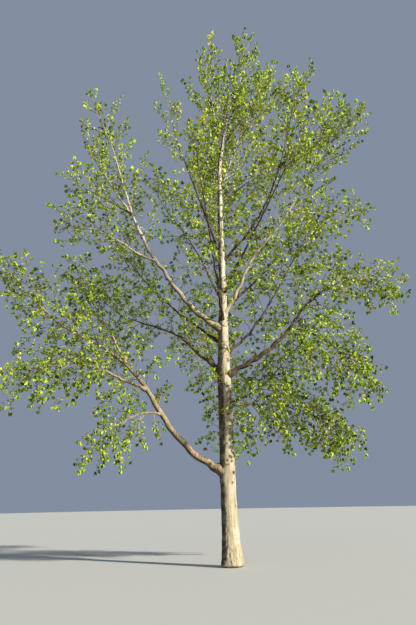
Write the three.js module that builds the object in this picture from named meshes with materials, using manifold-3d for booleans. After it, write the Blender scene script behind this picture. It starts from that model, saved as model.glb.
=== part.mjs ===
// Poplar tree, 15.8 m tall, in fresh spring leaf.
//
// Millimetres and degrees. +Z is up, the origin is the middle of the flat cut at ground level,
// +X is to the right and -Y towards somebody who looks at the tree from its open side.
// Headings are counted from +X over +Y, and a rise is the angle above the level.

import * as THREE from "three";
import { mergeVertices } from "three/addons/utils/BufferGeometryUtils.js";
import Module from "manifold-3d";

const wasm = await Module();
wasm.setup();

// Driving dimensions
const clearance = 0.3; // between pieces that touch on the real tree
const stepsAlongLimb = 20; // stations on every limb, from its root to its last twig
const trunkSides = 14;
const stoutSides = 8;
const thinSides = 6;
const stoutGirth = 95; // a bough at least this thick at its butt gets the larger number of sides
const stemSides = 4;
const boughStride = 2; // stations from one ring of a bough's mesh to the next
const stemStride = 4; // and of a stem's
const stemTip = 24; // diameter where a stem ends
const taper = 1.15; // 1 is an even taper, more is a limb that thins sooner
const twigShare = 0.62; // how thick a twig's root is, as a share of its stem there
const thickestTwig = 32;
const neckShare = 0.75; // how thick a twig is where its last leaf begins, as a share of its root
const firstTwig = 0.14; // places of the first and last twig along a stem
const lastTwig = 0.86;
const fewestTwigs = 3;
const leafLength = 540; // each leaf of these solids stands for a spray of real leaves
const leafWidth = 380;
const leafThickness = 32;
const leafWidest = 0.42; // fraction of the length where a leaf is widest
const rootDepth = 2; // how far a side leaf's root reaches past the middle of its twig
const tipDepth = 40; // and the last leaf's root back from its stem's end
const goldenAngle = 137.5;
const twigLean = 58; // angle between a twig and its stem, at the stem's root
const closing = 0.4; // the share of that angle, and of a twig's length, lost towards the tip
const twigLift = 0.15; // how far twigs turn up towards the light
const twigSpacing = 580;
const sidePlaces = [0.86, 0.42]; // places of the side leaves along the bare part of a twig
const leafLean = 62; // angle between a side leaf and its twig
const sizeRange = [0.82, 1.12]; // smallest and largest leaf and twig, against the usual one
const crowding = 0.55; // how much of their widths two leaves of one mass may share
const spaceMargin = 40; // clear strip between one mass's space and the next
const leafGap = 2; // least gap between the leaves of two masses
const lowestLeaf = 2300;
const tries = 9; // directions that a twig may try; the emptiest one is taken
const roomEnough = 1600; // further than this from the nearest leaf counts as no emptier
const shankStart = 0.25; // fraction of a twig's bare part that may stand close to its bough
const testedSpots = [0.3, 0.65, 1]; // fractions of a piece's length where its space is tested
const faceUp = [0.2, 0.7]; // how far leaves face upwards, against a sideways part of up to a half
const samePoint = 1e-4; // corners closer than this are one corner

// The trunk: height of each station, how far it stands aside of the root, and its diameter
const trunkStations = [
  { height: 0, aside: 0, girth: 455 },
  { height: 1600, aside: -50, girth: 400 },
  { height: 3500, aside: -65, girth: 375 },
  { height: 4900, aside: -90, girth: 335 },
  { height: 6900, aside: -60, girth: 215 },
  { height: 8900, aside: -80, girth: 155 },
  { height: 11000, aside: -70, girth: 125 },
  { height: 12600, aside: 170, girth: 85 },
  { height: 13600, aside: 500, girth: 48 },
];
const trunkHeight = trunkStations.at(-1).height;
const flareGrowth = 0.34; // how much wider the root flare is at the ground
const flareHeight = 330;
const flareLobes = 5;
const lobeDepth = 0.07;
const firstRings = [0, 90, 220, 420, 700, 1100];
const ringSpacing = 625;

// Every limb leaves what carries it at a height on the trunk, or at a fraction of another
// limb's length. "bare" is the part of its length that is bough; the rest is the stem of
// its mass of foliage. "reach" is the length of the mass's longest twigs.
const limbs = [
  { name: "left_low", height: 2200, heading: [184, 186, 198, 194],
    rise: [27, 42, 63, 44, 22, 42, 52], length: 7700, girth: 205, bare: 0.55, reach: 1350 },
  { name: "left_low_side", on: "left_low", at: 0.4, heading: [215, 205], rise: [12, 22, 0, -26],
    length: 3100, girth: 90, bare: 0.3, reach: 1150 },
  { name: "left_low_droop", on: "left_low", at: 0.32, heading: [238, 205], rise: [8, -25, -50],
    length: 2100, girth: 60, bare: 0.25, reach: 950 },
  { name: "left_low_back", on: "left_low", at: 0.5, heading: [150, 140], rise: [60, 54, 56],
    length: 3500, girth: 80, bare: 0.3, reach: 1200 },
  { name: "left_mid", height: 4850, heading: [168, 182], rise: [30, 50, 20, 20, 55],
    length: 4100, girth: 110, bare: 0.5, reach: 1150 },
  { name: "left_high", height: 6000, heading: [182, 190], rise: [29, 54, 60, 74, 74, 62],
    length: 7900, girth: 160, bare: 0.6, reach: 1050 },
  { name: "left_high_side", on: "left_high", at: 0.33, heading: [190, 196],
    rise: [10, 36, 24, 14], length: 2200, girth: 75, bare: 0.3, reach: 1150 },
  { name: "left_high_outer", on: "left_high", at: 0.55, heading: [185, 180],
    rise: [30, 32, 30, 24], length: 1900, girth: 60, bare: 0.2, reach: 1000 },
  { name: "left_high_back", on: "left_high", at: 0.46, heading: [150, 140], rise: [66, 55, 58, 62],
    length: 4200, girth: 75, bare: 0.35, reach: 1100 },
  { name: "left_upper", height: 6700, heading: [175, 165], rise: [68, 66, 54, 66],
    length: 4300, girth: 65, bare: 0.42, reach: 1050 },
  { name: "left_inner", height: 8100, heading: [196, 190], rise: [70, 71, 70, 86],
    length: 5100, girth: 75, bare: 0.45, reach: 950 },
  { name: "left_leader", height: 11900, heading: [190, 180], rise: [70, 84, 88],
    length: 2900, girth: 48, bare: 0.0, reach: 900 },
  { name: "right_low", height: 4700, heading: [-10, 12], rise: [27, 30, 55, 44, 6, -16],
    length: 5600, girth: 150, bare: 0.47, reach: 1150 },
  { name: "right_low_droop", on: "right_low", at: 0.4, heading: [-20, -30],
    rise: [-15, -40, -60], length: 2200, girth: 55, bare: 0.2, reach: 1050 },
  { name: "right_spur", height: 4020, heading: [-45, -35], rise: [-3, 19, 41, 38],
    length: 2750, girth: 60, bare: 0, reach: 950 },
  { name: "right_drape", height: 3900, heading: [20, 8], rise: [10, 0, -16, -40],
    length: 3350, girth: 60, bare: 0.3, reach: 1050 },
  { name: "right_mid", height: 5340, heading: [25, 15], rise: [29, 53, 59, 61, 40],
    length: 5200, girth: 85, bare: 0.5, reach: 1150 },
  { name: "right_pale", height: 6350, heading: [-25, -15], rise: [55, 64, 42, 60, 55, 40],
    length: 6300, girth: 110, bare: 0.62, reach: 1150 },
  { name: "right_pale_side", on: "right_pale", at: 0.57, heading: [10, 20], rise: [0, 4, 0],
    length: 2100, girth: 50, bare: 0.2, reach: 1050 },
  { name: "right_high", height: 8000, heading: [8, -2], rise: [44, 55, 68, 74, 78, 66],
    length: 6600, girth: 90, bare: 0.58, reach: 1000 },
  { name: "right_high_side", on: "right_high", at: 0.53, heading: [25, 35], rise: [47, 50, 47, 41],
    length: 4000, girth: 55, bare: 0.25, reach: 1100 },
  { name: "right_cross", height: 9760, heading: [30, 15], rise: [48, 42, 28, 36],
    length: 3800, girth: 50, bare: 0.4, reach: 950 },
  { name: "right_leader", height: 10270, heading: [-20, -10, -20], rise: [62, 74, 60, 24, 36],
    length: 3800, girth: 50, bare: 0.0, reach: 950 },
  { name: "top_right", height: 11600, heading: [35, 28], rise: [64, 56, 58, 62],
    length: 3500, girth: 45, bare: 0.0, reach: 950 },
  { name: "front_left", height: 6200, heading: [262, 258], rise: [38, 40, 48],
    length: 4800, girth: 85, bare: 0.42, reach: 1250 },
  { name: "front_right", height: 7000, heading: [300, 310], rise: [38, 42, 52],
    length: 5000, girth: 80, bare: 0.42, reach: 1250 },
  { name: "front_high", height: 9200, heading: [306, 296], rise: [46, 54, 66],
    length: 3800, girth: 60, bare: 0.4, reach: 1100 },
  { name: "back_low", height: 4300, heading: [95, 100], rise: [24, 34, 46],
    length: 5900, girth: 115, bare: 0.5, reach: 1250 },
  { name: "back_left", height: 5600, heading: [130, 140], rise: [32, 40, 54],
    length: 6200, girth: 105, bare: 0.5, reach: 1250 },
  { name: "back_right", height: 6600, heading: [55, 45], rise: [34, 42, 56],
    length: 6000, girth: 100, bare: 0.5, reach: 1250 },
  { name: "back_high", height: 8600, heading: [100, 95], rise: [44, 52, 66],
    length: 5400, girth: 70, bare: 0.42, reach: 1100 },
  { name: "leader", height: 13500, heading: [0, 20], rise: [68, 80, 86],
    length: 1750, girth: 40, bare: 0.0, reach: 800 },
];

// Finishes
const bark = new THREE.MeshStandardMaterial({ color: 0xb9a888, roughness: 0.85, metalness: 0 });
const boughBark = new THREE.MeshStandardMaterial({ color: 0xa8946c, roughness: 0.8, metalness: 0 });
const foliage = new THREE.MeshStandardMaterial({ color: 0x8fa51f, roughness: 0.6, metalness: 0 });

// The same numbers come out on every run: a chain of remainders, started from a seed
const chainFactor = 16807;
const chainLength = 2147483647;
const chainStart = 104729;
const seedStep = 7919;
function seeded(seed) {
  let state = chainStart + seed * seedStep;
  return () => {
    state = (state * chainFactor) % chainLength;
    return state / chainLength;
  };
}

// Reads a list of evenly spaced values at a place from 0 to 1
function readAlong(values, place) {
  const position = place * (values.length - 1);
  const before = Math.min(Math.floor(position), values.length - 2);
  return THREE.MathUtils.lerp(values[before], values[before + 1], position - before);
}

// A unit vector with this heading and rise
function pointing(heading, rise) {
  const turn = THREE.MathUtils.degToRad(heading);
  const climb = THREE.MathUtils.degToRad(rise);
  return new THREE.Vector3(
    Math.cos(turn) * Math.cos(climb),
    Math.sin(turn) * Math.cos(climb),
    Math.sin(climb),
  );
}

// What the trunk's stations say at a height between two of them
function trunkValue(height, key) {
  const upper = Math.max(1, trunkStations.findIndex((station) => station.height >= height));
  const low = trunkStations[upper - 1];
  const high = trunkStations[upper];
  const part = (height - low.height) / (high.height - low.height);
  return THREE.MathUtils.lerp(low[key], high[key], part);
}

function trunkMiddle(height) {
  return new THREE.Vector3(trunkValue(height, "aside"), 0, height);
}

function trunkRadius(height, angle) {
  const flare = Math.exp(-height / flareHeight);
  const lobes = 1 + lobeDepth * flare * Math.cos(flareLobes * angle);
  return (trunkValue(height, "girth") / 2) * (1 + flareGrowth * flare) * lobes;
}

// Turns a geometry into a solid that can be joined and cut, and back
function plain(geometry) {
  const bare = geometry.clone();
  bare.deleteAttribute("normal");
  bare.deleteAttribute("uv");
  return mergeVertices(bare, samePoint);
}

function toSolid(geometry) {
  const merged = plain(geometry);
  return new wasm.Manifold(new wasm.Mesh({
    numProp: 3,
    vertProperties: new Float32Array(merged.attributes.position.array),
    triVerts: new Uint32Array(merged.index.array),
  }));
}

function toGeometry(vertices, triangles) {
  const geometry = new THREE.BufferGeometry();
  geometry.setAttribute("position", new THREE.BufferAttribute(vertices, 3));
  geometry.setIndex(new THREE.BufferAttribute(triangles, 1));
  return geometry;
}

// Keeps the largest closed skin of a solid: scraps go, and a hollow sealed by fusing is filled
function largestSkin(solid) {
  const mesh = solid.getMesh();
  const vertexCount = mesh.vertProperties.length / 3;
  const leader = Int32Array.from({ length: vertexCount }, (_, index) => index);
  const find = (index) => {
    let top = index;
    while (leader[top] !== top) top = leader[top];
    leader[index] = top;
    return top;
  };
  const corners = mesh.triVerts;
  for (let start = 0; start < corners.length; start += 3) {
    leader[find(corners[start + 1])] = find(corners[start]);
    leader[find(corners[start + 2])] = find(corners[start]);
  }
  const corner = (index) => new THREE.Vector3().fromArray(mesh.vertProperties, index * 3);
  const volumes = new Map();
  for (let start = 0; start < corners.length; start += 3) {
    const [a, b, c] = [0, 1, 2].map((offset) => corner(corners[start + offset]));
    const skin = find(corners[start]);
    volumes.set(skin, (volumes.get(skin) ?? 0) + a.dot(b.cross(c)) / 6);
  }
  const best = [...volumes.keys()].reduce((a, b) => (volumes.get(a) >= volumes.get(b) ? a : b));
  const kept = [];
  for (let start = 0; start < corners.length; start += 3) {
    if (find(corners[start]) === best) kept.push(...corners.slice(start, start + 3));
  }
  return mergeVertices(toGeometry(mesh.vertProperties, Uint32Array.from(kept)), samePoint);
}

// The trunk: level rings up its stations, closed at the flat cut and at its tip
function trunkRings() {
  const flareTop = firstRings.at(-1);
  const count = Math.ceil((trunkHeight - flareTop) / ringSpacing);
  const rings = [...firstRings];
  for (let ring = 1; ring <= count; ring += 1) {
    rings.push(THREE.MathUtils.lerp(flareTop, trunkHeight, ring / count));
  }
  return rings;
}

function trunkGeometry(extra = 0) {
  const rings = trunkRings();
  const geometry = plain(new THREE.CylinderGeometry(1, 1, 1, trunkSides, rings.length - 1));
  const position = geometry.attributes.position;
  const flatExtra = extra / Math.cos(Math.PI / trunkSides);
  for (let index = 0; index < position.count; index += 1) {
    const point = new THREE.Vector3().fromBufferAttribute(position, index);
    const ring = Math.round((point.y + 0.5) * (rings.length - 1));
    const angle = Math.atan2(-point.z, point.x);
    const fromMiddle = Math.hypot(point.x, point.z);
    const height = rings[ring];
    const radius = fromMiddle * (trunkRadius(height, angle) + flatExtra);
    const middle = trunkMiddle(height);
    const atTip = ring === rings.length - 1 ? extra : 0;
    position.setXYZ(
      index,
      middle.x + radius * Math.cos(angle),
      middle.y + radius * Math.sin(angle),
      height + atTip,
    );
  }
  return geometry;
}

// The stations that a tube's rings stand on, from first to last, with both of them
function stationsBetween(first, last, stride) {
  const stations = [];
  for (let station = first; station < last; station += stride) stations.push(station);
  if (stations.length > 1 && last - stations.at(-1) < stride) stations.pop();
  stations.push(last);
  return stations;
}

// A limb's stations: its line, the frame across it and its radius, from root to last twig
const grown = new Map();

function growLimb(limb) {
  const carrier = limb.on ? grown.get(limb.on) : null;
  const root = carrier
    ? carrier.points[Math.round(limb.at * stepsAlongLimb)].clone()
    : trunkMiddle(limb.height);
  const guide = [root];
  const stride = limb.length / stepsAlongLimb;
  for (let step = 0; step < stepsAlongLimb; step += 1) {
    const place = (step + 0.5) / stepsAlongLimb;
    const way = pointing(readAlong(limb.heading, place), readAlong(limb.rise, place));
    guide.push(guide.at(-1).clone().addScaledVector(way, stride));
  }
  const curve = new THREE.CatmullRomCurve3(guide, false, "centripetal");
  const frames = curve.computeFrenetFrames(stepsAlongLimb, false);
  const points = frames.tangents.map((_, step) => curve.getPointAt(step / stepsAlongLimb));
  const radii = points.map((_, step) => {
    const place = step / stepsAlongLimb;
    return (stemTip + (limb.girth - stemTip) * (1 - place) ** taper) / 2;
  });
  const bareSteps = Math.round(limb.bare * stepsAlongLimb);
  const line = { ...limb, points, radii, bareSteps, tangents: frames.tangents,
    across: frames.normals, aside: frames.binormals };
  line.boughRings = bareSteps > 0 ? stationsBetween(0, bareSteps, boughStride) : [];
  line.stemRings = stationsBetween(bareSteps, stepsAlongLimb, stemStride);
  grown.set(limb.name, line);
  return line;
}

// A tapering tube along some of a limb's stations. "extra" makes it thicker all round, and
// "ahead" moves its first ring forwards, so that it stands clear of the piece behind it.
function tubeAlong(line, stations, sides, { extra = 0, ahead = 0 } = {}) {
  const geometry = plain(new THREE.CylinderGeometry(1, 1, 1, sides, stations.length - 1));
  const position = geometry.attributes.position;
  const flatExtra = extra / Math.cos(Math.PI / sides);
  for (let index = 0; index < position.count; index += 1) {
    const point = new THREE.Vector3().fromBufferAttribute(position, index);
    const ring = Math.round((point.y + 0.5) * (stations.length - 1));
    const station = stations[ring];
    const radius = line.radii[station] + flatExtra;
    const place = line.points[station].clone()
      .addScaledVector(line.across[station], point.x * radius)
      .addScaledVector(line.aside[station], -point.z * radius);
    if (ring === 0) place.addScaledVector(line.tangents[station], ahead);
    position.setXYZ(index, place.x, place.y, place.z);
  }
  return geometry;
}

function sidesOf(line) {
  return line.girth >= stoutGirth ? stoutSides : thinSides;
}

function boughTube(line, options) {
  return tubeAlong(line, line.boughRings, sidesOf(line), options);
}

// What a limb grows out of, made thicker by the clearance, to be cut away from it
function carrierSolid(line) {
  return toSolid(line.on
    ? boughTube(grown.get(line.on), { extra: clearance })
    : trunkGeometry(clearance));
}

// Distances between straight pieces, each a line with a radius round it
function gapBetween(one, other) {
  const along = one.end.clone().sub(one.start);
  const across = other.end.clone().sub(other.start);
  const apart = one.start.clone().sub(other.start);
  const a = along.dot(along);
  const e = across.dot(across);
  const f = across.dot(apart);
  const c = along.dot(apart);
  const b = along.dot(across);
  const spread = a * e - b * b;
  const clamp = (value) => THREE.MathUtils.clamp(value, 0, 1);
  let s = spread > samePoint ? clamp((b * f - c * e) / spread) : 0;
  const t = clamp((b * s + f) / e);
  s = clamp((b * t - c) / a);
  const near = one.start.clone().addScaledVector(along, s);
  const far = other.start.clone().addScaledVector(across, t);
  return near.distanceTo(far) - one.radius - other.radius;
}

function capsulesAlong(line, rings) {
  return rings.slice(1).map((ring, index) => ({
    start: line.points[rings[index]],
    end: line.points[ring],
    radius: line.radii[rings[index]],
  }));
}

function trunkCapsules() {
  const rings = trunkRings();
  return rings.slice(1).map((height, index) => ({
    start: trunkMiddle(rings[index]),
    end: trunkMiddle(height),
    radius: trunkRadius(rings[index], 0),
  }));
}

// Puts one corner of a three-cornered section across a leaf or twig: the first corner
// becomes the raised rib, the other two the left and right edges
const edgeShare = Math.sqrt(3) / 2;
const ribShare = 2 / 3;
function sectionCorner(toRib, toEdge, width, thickness) {
  return { side: ((toEdge / edgeShare) * width) / 2, up: toRib * ribShare * thickness };
}

function layOut(geometry, piece) {
  const side = piece.along.clone().cross(piece.facing);
  geometry.applyMatrix4(new THREE.Matrix4().makeBasis(side, piece.along, piece.facing));
  geometry.translate(piece.start.x, piece.start.y, piece.start.z);
  return geometry;
}

// A side leaf: six faces, pointed at its root and its tip
function leafGeometry(leaf) {
  const length = leaf.end.distanceTo(leaf.start);
  const geometry = plain(new THREE.SphereGeometry(1, 3, 2));
  const position = geometry.attributes.position;
  for (let index = 0; index < position.count; index += 1) {
    const point = new THREE.Vector3().fromBufferAttribute(position, index);
    const atEnd = Math.abs(point.y) > 0.5;
    const width = atEnd ? 0 : leafWidth * leaf.scale;
    const corner = sectionCorner(-point.x, point.z, width, atEnd ? 0 : leafThickness);
    const along = atEnd ? (point.y + 1) / 2 : leafWidest;
    position.setXYZ(index, corner.side, along * length, corner.up);
  }
  return layOut(geometry, leaf);
}

// A twig that widens into its last leaf: a three-cornered spike with four stations
function twigGeometry(twig) {
  const length = twig.end.distanceTo(twig.start);
  const widths = [twig.girth, twig.girth * neckShare, leafWidth * twig.scale, 0];
  const depths = [twig.girth, twig.girth * neckShare, leafThickness, 0];
  const leafPart = twig.neck.distanceTo(twig.end) / length;
  const places = [0, 1 - leafPart, 1 - leafPart * (1 - leafWidest), 1];
  const geometry = plain(new THREE.CylinderGeometry(0, 1, 1, 3, places.length - 1));
  const position = geometry.attributes.position;
  for (let index = 0; index < position.count; index += 1) {
    const point = new THREE.Vector3().fromBufferAttribute(position, index);
    const ring = Math.round((point.y + 0.5) * (places.length - 1));
    const outwards = new THREE.Vector3(point.x, 0, point.z).normalize();
    const corner = sectionCorner(outwards.z, outwards.x, widths[ring], depths[ring]);
    position.setXYZ(index, corner.side, places[ring] * length, corner.up);
  }
  return layOut(geometry, twig);
}

// A unit vector square to a direction, facing a chance way but mostly upwards
function facingWay(along, chance) {
  const upwards = THREE.MathUtils.lerp(faceUp[0], faceUp[1], chance());
  const facing = new THREE.Vector3(chance() - 0.5, chance() - 0.5, upwards);
  return facing.addScaledVector(along, -facing.dot(along)).normalize();
}

function chanceSize(chance) {
  return THREE.MathUtils.lerp(sizeRange[0], sizeRange[1], chance());
}

// A side leaf from a place on a twig
function makeLeaf(place, twig, turn, chance) {
  const along = twig.along.clone().applyAxisAngle(twig.facing, THREE.MathUtils.degToRad(turn));
  const facing = facingWay(along, chance);
  const scale = chanceSize(chance);
  const length = leafLength * scale;
  const start = place.clone().addScaledVector(along, -rootDepth);
  const end = start.clone().addScaledVector(along, length);
  return { start, end, along, facing, scale, radius: (leafWidth * scale) / 2 };
}

// The twig that leaves a stem at a place, and its side leaves
function makeTwig(line, place, number, round, chance) {
  const station = line.bareSteps + place * (stepsAlongLimb - line.bareSteps);
  const next = line.stemRings.findIndex((ring) => ring > station);
  const [before, after] = [line.stemRings[next - 1], line.stemRings[next]];
  const part = (station - before) / (after - before);
  const start = line.points[before].clone().lerp(line.points[after], part);
  const angle = THREE.MathUtils.degToRad(number * goldenAngle + round * 360);
  const lean = THREE.MathUtils.degToRad(twigLean * (1 - closing * place));
  const along = line.tangents[before].clone().multiplyScalar(Math.cos(lean))
    .addScaledVector(line.across[before], Math.cos(angle) * Math.sin(lean))
    .addScaledVector(line.aside[before], Math.sin(angle) * Math.sin(lean));
  along.z += twigLift;
  along.normalize();
  const facing = facingWay(along, chance);
  const scale = chanceSize(chance);
  const reach = line.reach * (1 - closing * place) * chanceSize(chance);
  const bareLength = Math.max(reach, leafLength) - leafLength / 2;
  const neck = start.clone().addScaledVector(along, bareLength);
  const end = neck.clone().addScaledVector(along, leafLength * scale);
  const stemGirth = 2 * THREE.MathUtils.lerp(line.radii[before], line.radii[after], part);
  const girth = Math.min(thickestTwig, twigShare * stemGirth);
  const twig = { start, neck, end, along, facing, scale, girth, radius: (leafWidth * scale) / 2 };
  const leaves = sidePlaces.map((fraction, index) => {
    const side = (index + number) % 2 === 0 ? 1 : -1;
    return makeLeaf(start.clone().lerp(neck, fraction), twig, side * leafLean, chance);
  });
  return { twig, leaves };
}

// Grows every limb first, so that each mass knows where all the others stand
for (const limb of limbs) growLimb(limb);
const wood = new Map([["trunk", trunkCapsules()]]);
const stems = new Map();
for (const line of grown.values()) {
  if (line.bareSteps > 0) wood.set(line.name, capsulesAlong(line, line.boughRings));
  stems.set(line.name, capsulesAlong(line, line.stemRings));
}

// The distance from a point to the nearest part of a stem
function toStem(point, capsules) {
  const spot = { start: point, end: point.clone().setZ(point.z + 1), radius: 0 };
  return Math.min(...capsules.map((capsule) => gapBetween(spot, capsule)));
}

// True where a piece keeps to its mass's own space: nearer to its own stem than to any
// other, above the lowest leaf, and clear of all wood and of all that other masses hold
function keepsToItsSpace(piece, line, placed) {
  const spots = testedSpots.map((part) => piece.start.clone().lerp(piece.end, part));
  for (const spot of spots) {
    if (spot.z - piece.radius < lowestLeaf) return false;
    const own = toStem(spot, stems.get(line.name));
    for (const [name, capsules] of stems) {
      if (name !== line.name && toStem(spot, capsules) < own + spaceMargin) return false;
    }
  }
  for (const capsules of wood.values()) {
    if (capsules.some((capsule) => gapBetween(piece, capsule) < spaceMargin)) return false;
  }
  for (const [name, capsules] of stems) {
    if (name === line.name) continue;
    if (capsules.some((capsule) => gapBetween(piece, capsule) < spaceMargin)) return false;
  }
  return placed.every((other) => {
    const widths = piece.radius + other.radius;
    return gapBetween(piece, other) > (other.mass === line.name ? -crowding * widths : leafGap);
  });
}

// A twig starts close to its bough's tip, so only its leafy part is tested as wide, and
// the rest as thin as it is
function keepsClear(twig, line, placed) {
  const { start, neck } = twig;
  const shank = {
    start: start.clone().lerp(neck, shankStart),
    end: neck,
    radius: twig.girth / 2,
  };
  const blade = { ...twig, start: neck };
  return keepsToItsSpace(blade, line, placed) && keepsToItsSpace(shank, line, placed);
}

// How much room there is round a twig's leaves: the distance to the nearest leaf placed
const leafMiddles = [];
function middleOf(piece) {
  return piece.end.clone().addScaledVector(piece.along, (-leafLength * piece.scale) / 2);
}

function roomRound(pieces) {
  const distances = pieces.map(middleOf).map((middle) => {
    const gaps = leafMiddles.map((other) => other.distanceTo(middle));
    return Math.min(roomEnough, ...gaps);
  });
  return distances.reduce((total, distance) => total + distance, 0);
}

const placedPieces = [];

function growMass(line, number) {
  const chance = seeded(number);
  const stemLength = line.length * (1 - line.bareSteps / stepsAlongLimb);
  const twigCount = Math.max(fewestTwigs, Math.round(stemLength / twigSpacing));
  let solid = toSolid(tubeAlong(line, line.stemRings, stemSides, { ahead: clearance }));
  if (line.bareSteps === 0) solid = solid.subtract(carrierSolid(line));
  const keep = (piece, shape) => {
    placedPieces.push({ ...piece, mass: line.name });
    leafMiddles.push(middleOf(piece));
    solid = solid.add(toSolid(shape));
  };
  const tipAlong = line.tangents[stepsAlongLimb];
  const last = { along: tipAlong, facing: facingWay(tipAlong, chance) };
  const tipLeaf = makeLeaf(line.points[stepsAlongLimb], last, 0, chance);
  tipLeaf.start.addScaledVector(tipAlong, -tipDepth);
  if (keepsToItsSpace(tipLeaf, line, placedPieces)) keep(tipLeaf, leafGeometry(tipLeaf));
  for (let index = 0; index < twigCount; index += 1) {
    const place = THREE.MathUtils.lerp(firstTwig, lastTwig, index / (twigCount - 1));
    const options = [];
    for (let attempt = 0; attempt < tries; attempt += 1) {
      const { twig, leaves } = makeTwig(line, place, index, attempt / tries, chance);
      if (!keepsClear(twig, line, placedPieces)) continue;
      const kept = leaves.filter((leaf) => keepsToItsSpace(leaf, line, placedPieces));
      options.push({ twig, kept, room: roomRound([twig, ...kept]) });
    }
    if (options.length === 0) continue;
    const best = options.reduce((a, b) => (a.room >= b.room ? a : b));
    keep(best.twig, twigGeometry(best.twig));
    best.kept.forEach((leaf) => keep(leaf, leafGeometry(leaf)));
  }
  return solid;
}

// Each piece is placed at its own root
const tree = new THREE.Group();

function addPiece(name, geometry, material, root) {
  geometry.translate(-root.x, -root.y, -root.z);
  geometry.computeVertexNormals();
  const mesh = new THREE.Mesh(geometry, material);
  mesh.name = name;
  mesh.position.copy(root);
  tree.add(mesh);
}

addPiece("trunk", trunkGeometry(), bark, new THREE.Vector3());
for (const line of grown.values()) {
  if (line.bareSteps === 0) continue;
  const bough = toSolid(boughTube(line)).subtract(carrierSolid(line));
  addPiece(`bough_${line.name}`, largestSkin(bough), boughBark, line.points[0]);
}
[...grown.values()].forEach((line, index) => {
  const mass = largestSkin(growMass(line, index + 1));
  addPiece(`foliage_${line.name}`, mass, foliage, line.points[line.bareSteps]);
});

export default tree;
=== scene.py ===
# %% [markdown]
# # A young poplar in fresh leaf
# The tree is almost 16 m tall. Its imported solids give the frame: a trunk, long rising boughs
# and coarse masses of foliage. This lesson dresses them. It grows the limbs again from the same
# measures, gives trunk and boughs real bark, and carries each mass on to thin twigs and leaves.

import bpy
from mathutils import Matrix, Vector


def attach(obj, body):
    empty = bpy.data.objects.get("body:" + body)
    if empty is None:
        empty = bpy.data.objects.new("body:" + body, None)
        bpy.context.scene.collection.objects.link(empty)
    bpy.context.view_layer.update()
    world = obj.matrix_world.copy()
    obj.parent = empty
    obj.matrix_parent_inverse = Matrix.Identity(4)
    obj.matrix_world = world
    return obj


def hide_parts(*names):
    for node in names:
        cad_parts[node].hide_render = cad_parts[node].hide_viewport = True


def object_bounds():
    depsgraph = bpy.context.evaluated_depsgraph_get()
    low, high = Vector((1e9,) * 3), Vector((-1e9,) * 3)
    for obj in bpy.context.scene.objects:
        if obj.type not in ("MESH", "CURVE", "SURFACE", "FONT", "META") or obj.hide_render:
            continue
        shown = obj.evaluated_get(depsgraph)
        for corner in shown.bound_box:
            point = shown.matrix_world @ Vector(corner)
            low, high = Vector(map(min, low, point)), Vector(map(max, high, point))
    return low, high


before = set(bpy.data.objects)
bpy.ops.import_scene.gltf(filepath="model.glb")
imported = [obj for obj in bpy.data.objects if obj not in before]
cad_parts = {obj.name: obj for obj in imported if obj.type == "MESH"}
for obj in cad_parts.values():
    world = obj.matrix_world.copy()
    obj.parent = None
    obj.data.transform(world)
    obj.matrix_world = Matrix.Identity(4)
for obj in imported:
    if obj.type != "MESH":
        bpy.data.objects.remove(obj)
cad_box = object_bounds()
print("CAD box", [tuple(round(value, 3) for value in corner) for corner in cad_box])

# %% Libraries
import math

import bpy
import numpy as np
from mathutils import Matrix, Vector, kdtree

# %% [markdown]
# ## The measures of the tree
# Everything is in metres and degrees. Headings are counted from +X over +Y, and a rise is the
# angle above the level. The trunk is a list of stations. A limb is a list of headings and of
# rises that its line follows from root to tip. The solids were made from the same values, so
# each new piece lies where its solid is.

# %% The trunk's stations: height, how far it stands aside of its root, and diameter
TRUNK = [
    (0.0, 0.0, 0.455), (1.6, -0.050, 0.400), (3.5, -0.065, 0.375), (4.9, -0.090, 0.335),
    (6.9, -0.060, 0.215), (8.9, -0.080, 0.155), (11.0, -0.070, 0.125), (12.6, 0.170, 0.085),
    (13.6, 0.500, 0.048),
]
TRUNK_HEIGHTS, TRUNK_ASIDE, TRUNK_DIAMETERS = zip(*TRUNK)
FLARE_GROWTH = 0.34
FLARE_HEIGHT = 0.33
FLARE_LOBES = 5
LOBE_DEPTH = 0.07

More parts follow.
